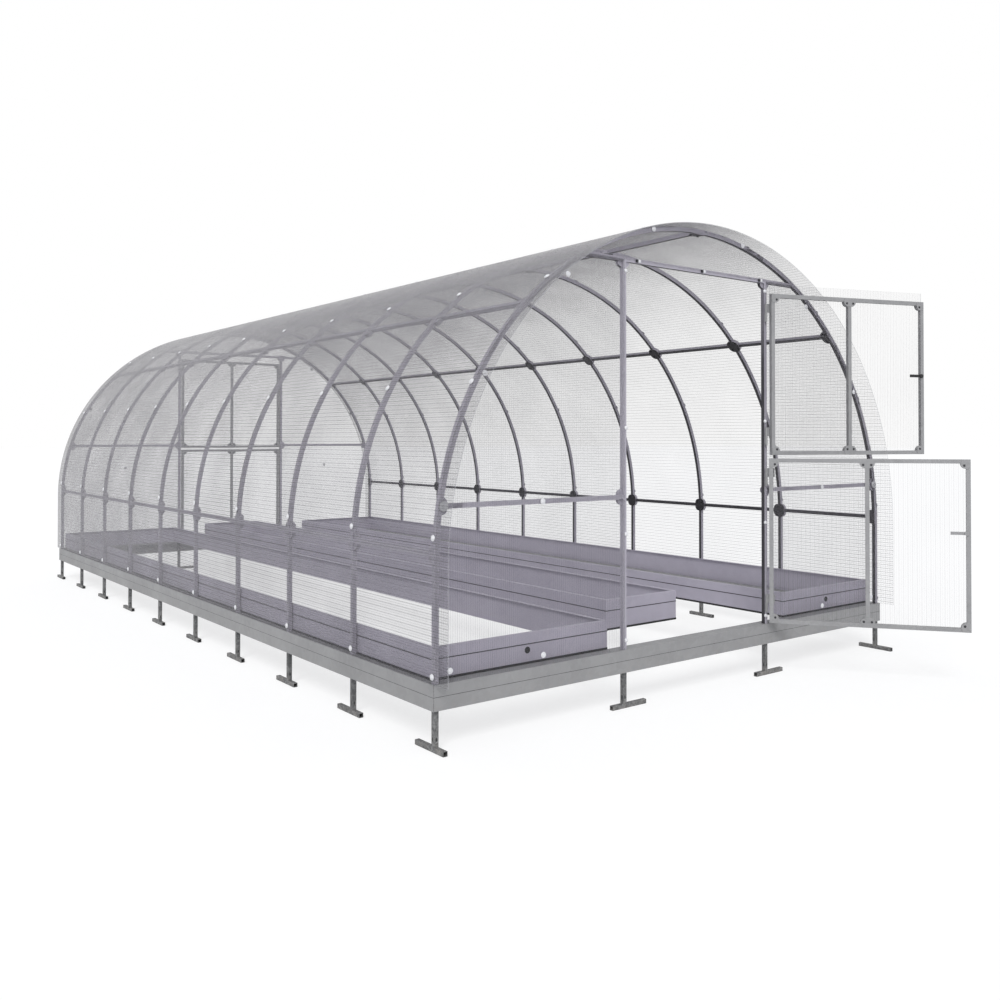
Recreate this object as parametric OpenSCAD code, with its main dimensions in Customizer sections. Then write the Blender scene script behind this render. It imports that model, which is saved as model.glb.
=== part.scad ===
// Tunnel greenhouse: square-tube arches on a folded steel base, twin-wall sheet cover,
// framed ends with a two-leaf door and steel bed edging inside.
// X runs across, Y runs from the front end to the rear, Z is up from the ground. Millimetres.

/* [House] */
// Width over the base beams
house_w = 3000; // [2800:10:4000]
// Length over the end arches
house_l = 6000; // [5000:10:7800]
// Height of the straight part of the arch legs above the base
spring_h = 455; // [360:5:620]
// Side of the square frame tube
tube = 20; // [16:1:30]
// Wall of the hollow foot bars
tube_wall = 1.5; // [1:0.1:2.5]

/* [Base] */
// Height of the base beam
base_h = 100; // [80:1:150]
// Width of the beam's top flange
base_flange = 70; // [58:1:100]
// Steel thickness of the base beam
base_t = 2; // [1.5:0.1:4]
// Height of the groove along the beam's face, above its lower edge
groove_h = 52; // [20:1:70]
// Joint left between two lengths of base beam
base_joint = 0.8; // [0.2:0.1:1]
// Setback of the frame from the beam's outer face
base_setback = 10; // [6:1:20]

/* [Feet] */
// Leg length between the foot bar and the base beam
foot_drop = 140; // [80:5:300]
// Length of a foot bar
foot_l = 205; // [160:5:320]
// Leg centre to the nearer end of the foot bar, left side and ends
foot_near = 73; // [40:1:110]
// Leg centre to the nearer end of the foot bar, right side
foot_near_right = 105; // [40:1:115]

/* [Cover] */
// Thickness of the twin-wall sheet
sheet_t = 4; // [3:0.5:10]
// How far the cover runs past the end arches
overhang = 100; // [60:1:100]
// Gap between neighbouring sheets
sheet_gap = 0.8; // [0.2:0.1:1]

/* [Purlins] */
// Height of the low purlins above the base
low_purlin_h = 494; // [460:1:620]
// Angle of the high purlins above the horizontal
high_purlin_angle = 45; // [32:1:60]
// Reach of a cross connector from its middle
crab_r = 40; // [30:1:55]
// Radius of a connector's corner lobes
crab_lobe_r = 30; // [20:1:34]
// Width of the plates behind the rails
crab_w = 34; // [24:1:46]
// Thickness of a connector
crab_t = 3; // [2:0.5:5]

/* [Ends] */
// Clear width between the door posts
door_gap = 965; // [800:5:1150]
// Height of the rail over the door, above the base
top_rail_h = 1745; // [1500:5:1840]
// Height of the front side rails above the base
front_rail_h = 680; // [520:5:860]
// Height of the rear side rails above the base
rear_rail_h = 880; // [640:5:1100]
// Radius of the gussets at the ends of the rails
rail_gusset_r = 25; // [16:1:34]

/* [Door] */
// Clearance between a leaf and each post
leaf_side_gap = 10; // [7:1:20]
// Clearance under the lower leaf
leaf_floor_gap = 11; // [7:1:20]
// Height of the lower leaf frame
lower_leaf_h = 830; // [600:5:930]
// Clearance between the two leaves
leaf_mid_gap = 17; // [8:1:30]
// Height of the upper leaf frame
upper_leaf_h = 820; // [600:5:830]
// How far the upper leaf's sheet stands above its frame
sheet_lift = 48; // [0:1:50]
// Angle at which the lower leaf stands open
lower_open = 125.6; // [0:0.1:168]
// Angle at which the upper leaf stands open
upper_open = 160.5; // [0:0.1:160.5]
// Radius of a leaf's corner gusset
gusset_r = 26; // [16:1:60]
// How far the gussets stand behind the tubes
gusset_t = 2; // [1.5:0.5:4]
// Length of the latch bar
latch_l = 80; // [60:5:140]
// Width of the latch bar
latch_w = 15; // [12:1:34]
// Thickness of the latch bar
latch_t = 5; // [3:0.5:8]
// Height of the lower leaf's latch above the middle of the leaf
lower_latch_rise = 60; // [0:5:150]
// Height of the upper leaf's latch above the middle of the leaf
upper_latch_rise = 10; // [0:5:150]

/* [Hinges] */
// Radius of a hinge knuckle
knuckle_r = 6; // [4:0.5:9]
// Length of one hinge
hinge_l = 90; // [60:5:140]
// Distance from a leaf's end to its hinge
hinge_inset = 95; // [60:5:160]
// Thickness of the hinge plates
hinge_t = 3; // [2:0.5:4]
// Width of the strap on the leaf
strap_w = 26; // [20:1:80]
// Running gap between knuckles
knuckle_gap = 0.5; // [0.3:0.1:1]

/* [Beds] */
// Height of the side beds
side_bed_h = 130; // [90:5:220]
// Height of the middle bed
mid_bed_h = 150; // [90:5:220]
// Width of the left bed
left_bed_w = 915; // [500:5:940]
// Width of the right bed
right_bed_w = 768; // [400:5:940]
// Width of the middle bed
mid_bed_w = 490; // [300:5:560]
// Offset of the middle bed from the centre line
mid_bed_x = -25; // [-60:1:60]
// Distance from the front arch to the middle bed
mid_bed_front = 370; // [60:5:900]
// Steel thickness of the beds
bed_t = 1.5; // [1:0.1:3]
// Width of the folded lip along the top of a bed
bed_lip = 18; // [10:1:30]
// Clearance between the beds and the arch legs
bed_leg_gap = 4; // [2:0.5:10]

/* [Hidden] */
$fa = 3;
$fs = 0.8;
eps = 0.01;
base_z = tube + foot_drop;              // underside of the base beam
z0 = base_z + base_h;                   // top of the base beam
hw = house_w / 2;
frame_r = hw - base_setback;            // outer radius of the arches
inner_r = frame_r - tube;
spring_z = z0 + spring_h;
hl = house_l / 2;
base_hl = hl + base_setback;
arch_count = 10;
bay = (house_l - tube) / (arch_count - 1);
function arch_y(i) = -hl + tube / 2 + (i - 1) * bay;
post_x = door_gap / 2 + tube / 2;
panel_edge_x = post_x + 4;
leaf_w = door_gap - 2 * leaf_side_gap;
hinge_x = door_gap / 2 + 4.5;
hinge_y = -hl - hinge_t - knuckle_r;
lower_z = z0 + leaf_floor_gap;
upper_z = lower_z + lower_leaf_h + leaf_mid_gap;
purlin_r = sqrt(frame_r * frame_r - tube * tube / 4) - 0.05;   // flat outer face just inside the cover
low_purlin_angle = asin((low_purlin_h - spring_h) / (frame_r - tube / 2));
crab_back = sqrt(inner_r * inner_r - crab_r * crab_r);
bed_out_x = inner_r - bed_leg_gap;
bed_end_y = hl - base_flange + base_setback + 6;
seat_gap = 0.3;                         // gap left where two pieces meet
origin_y = 337;                         // puts the origin under the middle of the house with its leaves open

steel = [0.55, 0.55, 0.62];
dark_steel = [0.38, 0.38, 0.44];
poly = [0.82, 0.86, 0.9];

// Outline of the tunnel at radius r, centred on the spring line, down to depth d
module tunnel_outline(r, d) intersection() {
    union() {
        circle(r = r);
        translate([-r, -r - d]) square([2 * r, r + d]);
    }
    translate([-r - 1, -d]) square([2 * r + 2, r + d + 1]);
}

// Half tube along Y between two radii, closed down to z_low by straight walls
module tunnel(r_out, r_in, y_a, y_b, z_low)
    translate([0, y_b, spring_z]) rotate([90, 0, 0]) linear_extrude(height = y_b - y_a) difference() {
        tunnel_outline(r_out, spring_z - z_low);
        tunnel_outline(r_in, spring_z - z_low + 1);
    }

// Solid space inside the arches between two planes in Y, from z_low up
module inside(r, y_a, y_b, z_low) {
    translate([0, y_b, spring_z]) rotate([90, 0, 0]) cylinder(r = r, h = y_b - y_a, $fn = 720);
    translate([-r, y_a, z_low]) cube([2 * r, y_b - y_a, spring_z - z_low]);
}

module arch(i) color(steel)
    tunnel(frame_r, inner_r, arch_y(i) - tube / 2, arch_y(i) + tube / 2, z0);

// Angle section with a lip, along Y, outer face at -hw
module side_beam(y_a, y_b) {
    difference() {
        translate([-hw, y_a, base_z]) cube([base_t, y_b - y_a, base_h]);
        translate([-hw - 1, y_a - 1, base_z + groove_h]) cube([1 + base_t / 2, y_b - y_a + 2, 2]);
    }
    translate([-hw, y_a, z0 - base_t]) cube([base_flange, y_b - y_a, base_t]);
    translate([-hw + base_flange - base_t, y_a, z0 - 14]) cube([base_t, y_b - y_a, 14]);
}

module side_base() color(dark_steel) {
    y4 = arch_y(4);
    y7 = arch_y(7);
    j = base_joint / 2;
    difference() {
        union() {
            side_beam(-base_hl, y4 - j);
            side_beam(y4 + j, y7 - j);
            side_beam(y7 + j, base_hl);
        }
        for (s = [0, 1]) mirror([0, s, 0]) translate([-hw, -base_hl + j, base_z - 1])
            rotate([0, 0, 45]) translate([-20, -300, 0]) cube([400, 300, base_h + 2]);
    }
}
module base_left() side_base();
module base_right() mirror([1, 0, 0]) side_base();

module end_base() color(dark_steel) difference() {
    union() {
        difference() {
            translate([-hw, -base_hl, base_z]) cube([2 * hw, base_t, base_h]);
            translate([-hw - 1, -base_hl - 1, base_z + groove_h]) cube([2 * hw + 2, 1 + base_t / 2, 2]);
        }
        translate([-hw, -base_hl, z0 - base_t]) cube([2 * hw, base_flange, base_t]);
        translate([-hw, -base_hl + base_flange - base_t, z0 - 14]) cube([2 * hw, base_t, 14]);
    }
    for (s = [0, 1]) mirror([s, 0, 0]) translate([-hw + base_joint / 2, -base_hl, base_z - 1])
        rotate([0, 0, 45]) translate([-20, 0, 0]) cube([400, 300, base_h + 2]);
}
module base_front() end_base();
module base_rear() mirror([0, 1, 0]) end_base();

// T foot at the origin of its leg, bar along Y
module foot(near) {
    translate([-tube / 2, -tube / 2, tube]) cube([tube, tube, z0 - base_t - tube]);
    difference() {
        translate([-tube / 2, -near, 0]) cube([tube, foot_l, tube]);
        translate([-tube / 2 + tube_wall, -near - 1, tube_wall])
            cube([tube - 2 * tube_wall, foot_l + 2, tube - 2 * tube_wall]);
    }
}
module feet_left() color(steel) for (i = [1 : arch_count])
    translate([-frame_r + tube / 2, arch_y(i), 0]) foot(foot_near);
module feet_right() color(steel) for (i = [1 : arch_count])
    translate([frame_r - tube / 2, arch_y(i), 0]) foot(foot_near_right);
module feet_ends() color(steel) for (x = [-post_x, post_x], y = [arch_y(1), arch_y(arch_count)])
    translate([x, y, 0]) rotate([0, 0, -90]) foot(foot_near);

module purlin(angle) color(steel) for (i = [1 : arch_count - 1])
    translate([0, arch_y(i) + tube / 2, spring_z]) rotate([0, -angle, 0])
        translate([purlin_r - tube, 0, -tube / 2]) cube([tube, bay - tube, tube]);
module purlins_left() mirror([1, 0, 0]) purlins_right();
module purlins_right() {
    purlin(low_purlin_angle);
    purlin(high_purlin_angle);
}
module purlin_ridge() purlin(90);

// Cross connectors on the inner faces of one line of crossings, cut flush at the ends
module crabs(angle) color(dark_steel) for (i = [1 : arch_count]) intersection() {
    translate([0, arch_y(i), spring_z]) rotate([0, -angle, 0]) translate([crab_back - crab_t, 0, 0]) {
        // crossed arms behind the tubes
        for (a = [0, 90]) rotate([a, 0, 0]) translate([0, -crab_r, -tube / 2]) cube([crab_t, 2 * crab_r, tube]);
        // round lobes in the four corners, nearly as deep as the tubes
        for (s = [0, 1], t = [0, 1]) mirror([0, s, 0]) mirror([0, 0, t]) translate([0, tube / 2, tube / 2])
            intersection() {
                rotate([0, 90, 0]) cylinder(r = crab_lobe_r, h = crab_t + tube - 4);
                cube([crab_t + tube, crab_lobe_r + 1, crab_lobe_r + 1]);
            }
    }
    translate([-hw, -hl + seat_gap, 0]) cube([2 * hw, 2 * (hl - seat_gap), 2 * house_w]);
}
module connectors_right() {
    crabs(low_purlin_angle);
    crabs(high_purlin_angle);
}
module connectors_left() mirror([1, 0, 0]) connectors_right();
module connectors_ridge() crabs(90);

// Round-edged gusset below a corner at the origin, towards +X, let into the rail above it
module rail_gusset(back) intersection() {
    rotate([-90, 0, 0]) cylinder(r = rail_gusset_r, h = tube + gusset_t - 6);
    translate([-back, -1, -rail_gusset_r - 1]) cube([rail_gusset_r + back + 1, tube + gusset_t, rail_gusset_r + 5]);
}

// End framing, drawn at the front
module posts() color(steel) for (s = [-1, 1])
    translate([s * post_x - tube / 2, -hl, z0]) cube([tube, tube, top_rail_h - tube / 2]);
module rails(side_h) color(steel) intersection() {
    inside(inner_r, -hl - 1, -hl + tube + 6, z0);
    union() {
        translate([-hw, -hl, z0 + top_rail_h - tube / 2]) cube([2 * hw, tube, tube]);
        // gussets under the top rail on both sides of each post
        for (s = [0, 1], t = [0, 1]) mirror([s, 0, 0]) translate([post_x, -hl + 6, z0 + top_rail_h - tube / 2])
            mirror([t, 0, 0]) translate([tube / 2, 0, 0]) rail_gusset(0);
        // gussets above and below the side rails, at the posts and at the arch
        for (s = [0, 1], t = [0, 1]) mirror([s, 0, 0]) translate([0, -hl + 6, z0 + side_h])
            mirror([0, 0, t]) translate([0, 0, -tube / 2]) {
                translate([post_x + tube / 2, 0, 0]) rail_gusset(0);
                translate([sqrt(inner_r * inner_r - pow(z0 + side_h - spring_z, 2)), 0, 0])
                    mirror([1, 0, 0]) rail_gusset(rail_gusset_r);
            }
        for (s = [-1, 1]) {
            translate([s > 0 ? post_x + tube / 2 : -hw, -hl, z0 + side_h - tube / 2])
                cube([hw - post_x - tube / 2, tube, tube]);
            // plate behind the post top
            translate([s * post_x, -hl + tube, z0 + top_rail_h]) rotate([-90, 0, 0]) {
                cylinder(r = crab_w / 2, h = crab_t);
                for (t = [-1, 1]) translate([t * (crab_r - crab_w / 2), 0, 0])
                    cylinder(r = crab_w / 2, h = crab_t);
                translate([-crab_r + crab_w / 2, -crab_w / 2, 0]) cube([2 * crab_r - crab_w, crab_w, crab_t]);
                translate([-crab_w / 2, 0, 0]) cube([crab_w, crab_r - crab_w / 2, crab_t]);
                translate([0, crab_r - crab_w / 2, 0]) cylinder(r = crab_w / 2, h = crab_t);
            }
            // plate behind the side rail's end on the post
            translate([s * post_x, -hl + tube, z0 + side_h]) rotate([-90, 0, 0]) {
                cylinder(r = crab_w / 2, h = crab_t);
                translate([s > 0 ? 0 : -crab_r + crab_w / 2, -crab_w / 2, 0])
                    cube([crab_r - crab_w / 2, crab_w, crab_t]);
                translate([s * (crab_r - crab_w / 2), 0, 0]) cylinder(r = crab_w / 2, h = crab_t);
            }
        }
    }
}
module front_posts() posts();
module front_rails() rails(front_rail_h);
module rear_posts() mirror([0, 1, 0]) posts();
module rear_rails() mirror([0, 1, 0]) rails(rear_rail_h);

module cover(y_a, y_b) color(poly) tunnel(frame_r + sheet_t, frame_r, y_a, y_b, z0);
module cover_front() cover(-hl - overhang, arch_y(4) - sheet_gap / 2);
module cover_middle() cover(arch_y(4) + sheet_gap / 2, arch_y(7) - sheet_gap / 2);
module cover_rear() cover(arch_y(7) + sheet_gap / 2, hl + overhang);

// End sheets, drawn at the front
module end_side_panel() color(poly) intersection() {
    inside(frame_r, -hl - sheet_t, -hl, z0);
    translate([-hw, -hl - sheet_t, z0]) cube([hw - panel_edge_x, sheet_t, top_rail_h - sheet_gap / 2]);
}
module end_top_panel() color(poly) intersection() {
    inside(frame_r, -hl - sheet_t, -hl, z0);
    translate([-hw, -hl - sheet_t, z0 + top_rail_h + sheet_gap / 2])
        cube([2 * hw, sheet_t, frame_r + spring_h]);
}
module front_panel_left() end_side_panel();
module front_panel_right() mirror([1, 0, 0]) end_side_panel();
module front_panel_top() end_top_panel();
module rear_panel_left() mirror([0, 1, 0]) end_side_panel();
module rear_panel_right() mirror([0, 1, 0]) mirror([1, 0, 0]) end_side_panel();
module rear_panel_top() mirror([0, 1, 0]) end_top_panel();

// One quarter gusset in the XZ plane, corner at the origin, towards +X and +Z
module gusset() intersection() {
    rotate([-90, 0, 0]) cylinder(r = gusset_r, h = tube + gusset_t);
    translate([-tube + 2, -1, -tube + 2]) cube([gusset_r + tube, tube + gusset_t + 2, gusset_r + tube]);
}

// Leaf parts drawn closed, lower edge at z, in the front frame plane
module leaf_frame(z, h, hinges) color(steel) {
    x0 = -leaf_w / 2;
    difference() {
        translate([x0, -hl, z]) cube([leaf_w, tube, h]);
        translate([x0 + tube, -hl - 1, z + tube]) cube([leaf_w - 2 * tube, tube + 2, h - 2 * tube]);
    }
    translate([-tube / 2, -hl, z + tube]) cube([tube, tube, h - 2 * tube]);
    for (s = [0, 1], t = [0, 1]) translate([0, 0, t * (2 * z + h)]) mirror([0, 0, t]) mirror([s, 0, 0]) {
        translate([x0 + tube, -hl, z + tube]) gusset();
        translate([tube / 2, -hl, z + tube]) gusset();
    }
    if (hinges) for (zc = [z + hinge_inset, z + h - hinge_inset]) {
        translate([hinge_x, hinge_y, zc + knuckle_gap / 2]) cylinder(r = knuckle_r, h = hinge_l / 2);
        translate([leaf_w / 2 - strap_w, -hl - sheet_t - hinge_t, zc + knuckle_gap / 2])
            cube([strap_w - 1, hinge_t, hinge_l / 2]);
        translate([leaf_w / 2 - 6, -hl - sheet_t - hinge_t, zc + knuckle_gap / 2])
            cube([hinge_x - leaf_w / 2 + 6, hinge_t, hinge_l / 2]);
    }
}
module leaf_sheet(z, h) color(poly)
    translate([-leaf_w / 2, -hl - sheet_t, z]) cube([leaf_w, sheet_t, h]);
module leaf_latch(z) color(dark_steel) {
    translate([-leaf_w / 2 + 12, -hl + tube, z - latch_w / 2]) cube([latch_l, latch_t, latch_w]);
    translate([-leaf_w / 2 + tube, -hl + tube, z])
        rotate([-90, 0, 0]) cylinder(r = latch_w * 0.7, h = latch_t + 4);
}
module swing(angle) translate([hinge_x, hinge_y, 0]) rotate([0, 0, angle]) translate([-hinge_x, -hinge_y, 0]) children();

module lower_leaf_frame() swing(lower_open) leaf_frame(lower_z, lower_leaf_h, true);
module lower_leaf_sheet() swing(lower_open) leaf_sheet(lower_z, lower_leaf_h);
module lower_leaf_latch() swing(lower_open) leaf_latch(lower_z + lower_leaf_h / 2 + lower_latch_rise);
module upper_leaf_frame() swing(upper_open) leaf_frame(upper_z, upper_leaf_h, true);
module upper_leaf_sheet() swing(upper_open) leaf_sheet(upper_z, upper_leaf_h + sheet_lift);
module upper_leaf_latch() swing(upper_open) leaf_latch(upper_z + upper_leaf_h / 2 + upper_latch_rise);

module rear_leaf_frames() mirror([0, 1, 0]) {
    leaf_frame(lower_z, lower_leaf_h, false);
    leaf_frame(upper_z, upper_leaf_h, false);
    // fixed cleats from the leaves to the posts
    color(steel) for (s = [-1, 1], zc = [lower_z + hinge_inset, upper_z + upper_leaf_h - hinge_inset])
        translate([s > 0 ? leaf_w / 2 : -leaf_w / 2 - leaf_side_gap, -hl + 2, zc - 20])
            cube([leaf_side_gap, tube - 4, 40]);
}
module rear_leaf_sheets() mirror([0, 1, 0]) {
    leaf_sheet(lower_z, lower_leaf_h);
    leaf_sheet(upper_z, upper_leaf_h + sheet_lift);
}

// Fixed halves of the front hinges on the right post
module hinge_plates() color(dark_steel)
    for (zc = [lower_z + hinge_inset, lower_z + lower_leaf_h - hinge_inset,
               upper_z + hinge_inset, upper_z + upper_leaf_h - hinge_inset]) {
        translate([hinge_x, hinge_y, zc - knuckle_gap / 2 - hinge_l / 2]) cylinder(r = knuckle_r, h = hinge_l / 2);
        translate([hinge_x - 3, -hl - hinge_t, zc - knuckle_gap / 2 - hinge_l / 2])
            cube([panel_edge_x - hinge_x + 2.5, hinge_t, hinge_l / 2]);
        translate([hinge_x - 3, hinge_y, zc - knuckle_gap / 2 - hinge_l / 2])
            cube([6, knuckle_r + 1, hinge_l / 2]);
    }

// Open steel edging with a folded lip, on the level of the base beam
module bed(x_a, x_b, y_a, y_b, h) color(steel) {
    difference() {
        translate([x_a, y_a, z0]) cube([x_b - x_a, y_b - y_a, h]);
        translate([x_a + bed_t, y_a + bed_t, z0 - 1])
            cube([x_b - x_a - 2 * bed_t, y_b - y_a - 2 * bed_t, h + 2]);
    }
    difference() {
        translate([x_a, y_a, z0 + h - bed_t]) cube([x_b - x_a, y_b - y_a, bed_t]);
        translate([x_a + bed_lip, y_a + bed_lip, z0])
            cube([x_b - x_a - 2 * bed_lip, y_b - y_a - 2 * bed_lip, h + 2]);
    }
}

// The same edging cut into four boards at the mitres
module bed_boards(x_a, x_b, y_a, y_b, h) difference() {
    bed(x_a, x_b, y_a, y_b, h);
    for (c = [[x_a, y_a, 45], [x_b, y_a, 135], [x_b, y_b, 225], [x_a, y_b, 315]])
        translate([c[0], c[1], z0 - 1]) rotate([0, 0, c[2]]) translate([-5, -seat_gap / 2, 0])
            cube([2 * bed_lip + 5, seat_gap, h + 2]);
}
module bed_left() bed_boards(-bed_out_x, -bed_out_x + left_bed_w, -bed_end_y, bed_end_y, side_bed_h);
module bed_right() bed_boards(bed_out_x - right_bed_w, bed_out_x, -bed_end_y, bed_end_y, side_bed_h);
module bed_middle() bed_boards(mid_bed_x - mid_bed_w / 2, mid_bed_x + mid_bed_w / 2,
                        -hl + mid_bed_front, bed_end_y, mid_bed_h);

module place() translate([0, origin_y, 0]) children();

place() base_left();
place() base_right();
place() base_front();
place() base_rear();
place() feet_left();
place() feet_right();
place() feet_ends();
place() arch(1);  // arch_1
place() arch(2);  // arch_2
place() arch(3);  // arch_3
place() arch(4);  // arch_4
place() arch(5);  // arch_5
place() arch(6);  // arch_6
place() arch(7);  // arch_7
place() arch(8);  // arch_8
place() arch(9);  // arch_9
place() arch(10);  // arch_10
place() purlins_left();
place() purlins_right();
place() purlin_ridge();
place() connectors_left();
place() connectors_right();
place() connectors_ridge();
place() front_posts();
place() front_rails();
place() rear_posts();
place() rear_rails();
place() cover_front();
place() cover_middle();
place() cover_rear();
place() front_panel_left();
place() front_panel_right();
place() front_panel_top();
place() rear_panel_left();
place() rear_panel_right();
place() rear_panel_top();
place() hinge_plates();
place() lower_leaf_frame();
place() lower_leaf_sheet();
place() lower_leaf_latch();
place() upper_leaf_frame();
place() upper_leaf_sheet();
place() upper_leaf_latch();
place() rear_leaf_frames();
place() rear_leaf_sheets();
place() bed_left();
place() bed_right();
place() bed_middle();
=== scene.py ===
import math

import bmesh
import bpy
from mathutils import Matrix, Vector


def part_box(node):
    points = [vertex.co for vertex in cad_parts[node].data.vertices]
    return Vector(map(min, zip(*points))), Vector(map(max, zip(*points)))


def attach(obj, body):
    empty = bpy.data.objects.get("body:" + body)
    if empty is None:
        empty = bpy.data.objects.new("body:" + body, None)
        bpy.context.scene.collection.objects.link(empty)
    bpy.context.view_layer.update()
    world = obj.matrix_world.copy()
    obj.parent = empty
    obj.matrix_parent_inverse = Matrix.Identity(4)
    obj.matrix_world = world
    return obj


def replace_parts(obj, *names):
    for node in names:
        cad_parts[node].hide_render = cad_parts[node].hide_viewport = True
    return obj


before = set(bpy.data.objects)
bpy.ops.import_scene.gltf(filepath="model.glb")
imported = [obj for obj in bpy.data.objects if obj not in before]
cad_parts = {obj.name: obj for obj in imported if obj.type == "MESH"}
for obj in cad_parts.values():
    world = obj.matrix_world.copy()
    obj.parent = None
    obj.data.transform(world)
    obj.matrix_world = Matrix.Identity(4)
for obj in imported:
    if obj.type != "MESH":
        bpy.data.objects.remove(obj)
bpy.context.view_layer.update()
scene = bpy.context.scene
print("frame loaded:", len(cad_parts), "nodes")


# small helpers for node trees
def addNode(tree, kind, inputs=None, **settings):
    node = tree.nodes.new(kind)
    for name, value in settings.items():
        setattr(node, name, value)
    for name, value in (inputs or {}).items():
        node.inputs[name].default_value = value
    return node


def newGroup(name, inputs, outputs):
    group = bpy.data.node_groups.new(name, "ShaderNodeTree")
    for label, kind, value in inputs:
        socket = group.interface.new_socket(name=label, in_out="INPUT", socket_type=kind)
        socket.default_value = value
    for label, kind in outputs:
        group.interface.new_socket(name=label, in_out="OUTPUT", socket_type=kind)
    return group, group.nodes.new("NodeGroupInput"), group.nodes.new("NodeGroupOutput")


def mixColour(tree):
    return addNode(tree, "ShaderNodeMix", data_type="RGBA")


def mathNode(tree, operation, second=None):
    return addNode(tree, "ShaderNodeMath", {} if second is None else {1: second}, operation=operation)


def rangeNode(tree, low, high, toLow=0.0, toHigh=1.0):
    return addNode(tree, "ShaderNodeMapRange", {
        "From Min": low, "From Max": high, "To Min": toLow, "To Max": toHigh})


# camera, light and floor
cameraView = {
    "place": (-3.494, -5.848, 1.199),
    "right": (0.77934, -0.62661, 0.0),
    "up": (-0.00776, -0.00966, 0.99992),
    "lens": 35.13,
    "shiftX": -0.0479,
    "shiftY": -0.073,
}


def addCamera(view):
    right, up = Vector(view["right"]).normalized(), Vector(view["up"]).normalized()
    back = right.cross(up).normalized()
    up = back.cross(right)
    data = bpy.data.cameras.new("viewCamera")
    data.lens = view["lens"]
    data.sensor_width = 36.0
    data.shift_x, data.shift_y = view["shiftX"], view["shiftY"]
    data.clip_start, data.clip_end = 0.05, 300.0
    camera = bpy.data.objects.new("viewCamera", data)
    scene.collection.objects.link(camera)
    turn = Matrix((right, up, back)).transposed().to_4x4()
    camera.matrix_world = Matrix.Translation(view["place"]) @ turn
    scene.camera = camera


lightPlan = {
    "skyColour": (0.93, 0.95, 1.0),
    "skyStrength": 0.60,
    "keyStrength": 2.1,
    "keyFrom": (-0.75, -0.85, 0.95),
    "keyAngle": 24.0,
    "floorColour": (0.86, 0.86, 0.86),
    "floorWhite": 1.12,
    "floorLift": 0.62,
}


def addLight(plan):
    world = bpy.data.worlds.new("studio")
    scene.world = world
    world.use_nodes = True
    tree = world.node_tree
    tree.nodes.clear()
    out = tree.nodes.new("ShaderNodeOutputWorld")
    sky = addNode(tree, "ShaderNodeBackground", {
        "Color": (*plan["skyColour"], 1), "Strength": plan["skyStrength"]})
    white = addNode(tree, "ShaderNodeBackground", {"Color": (1, 1, 1, 1)})
    path = tree.nodes.new("ShaderNodeLightPath")
    seen, seenToo = mathNode(tree, "MAXIMUM"), mathNode(tree, "MAXIMUM")
    mix = tree.nodes.new("ShaderNodeMixShader")
    tree.links.new(path.outputs["Is Camera Ray"], seen.inputs[0])
    tree.links.new(path.outputs["Is Glossy Ray"], seen.inputs[1])
    tree.links.new(seen.outputs[0], seenToo.inputs[0])
    tree.links.new(path.outputs["Is Transmission Ray"], seenToo.inputs[1])
    tree.links.new(seenToo.outputs[0], mix.inputs[0])
    tree.links.new(sky.outputs[0], mix.inputs[1])
    tree.links.new(white.outputs[0], mix.inputs[2])
    tree.links.new(mix.outputs[0], out.inputs["Surface"])

    lamp = bpy.data.lights.new("keyLamp", "SUN")
    lamp.energy = plan["keyStrength"]
    lamp.angle = math.radians(plan["keyAngle"])
    key = bpy.data.objects.new("keyLamp", lamp)
    key.rotation_euler = Vector(plan["keyFrom"]).to_track_quat("Z", "Y").to_euler()
    scene.collection.objects.link(key)


def addFloor(plan):
    bm = bmesh.new()
    bmesh.ops.create_grid(bm, x_segments=1, y_segments=1, size=120.0)
    mesh = bpy.data.meshes.new("floor")
    bm.to_mesh(mesh)
    bm.free()
    floor = bpy.data.objects.new("floor", mesh)
    scene.collection.objects.link(floor)
    material = bpy.data.materials.new("paleFloor")
    material.use_nodes = True
    tree = material.node_tree
    tree.nodes.clear()
    out = tree.nodes.new("ShaderNodeOutputMaterial")
    matt = addNode(tree, "ShaderNodeBsdfDiffuse", {"Color": (*plan["floorColour"], 1)})
    white = addNode(tree, "ShaderNodeEmission", {"Strength": plan["floorWhite"]})
    path = tree.nodes.new("ShaderNodeLightPath")
    seen, share = mathNode(tree, "MAXIMUM"), mathNode(tree, "MULTIPLY", second=plan["floorLift"])
    mix = tree.nodes.new("ShaderNodeMixShader")
    tree.links.new(path.outputs["Is Camera Ray"], seen.inputs[0])
    tree.links.new(path.outputs["Is Glossy Ray"], seen.inputs[1])
    tree.links.new(seen.outputs[0], share.inputs[0])
    tree.links.new(share.outputs[0], mix.inputs[0])
    tree.links.new(matt.outputs[0], mix.inputs[1])
    tree.links.new(white.outputs[0], mix.inputs[2])
    tree.links.new(mix.outputs[0], out.inputs["Surface"])
    mesh.materials.append(material)


addCamera(cameraView)
addLight(lightPlan)
addFloor(lightPlan)
scene.view_settings.view_transform = "Standard"
scene.cycles.transparent_max_bounces = 40  # a look along the house crosses many sheet walls
print("camera, light and floor placed")


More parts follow.
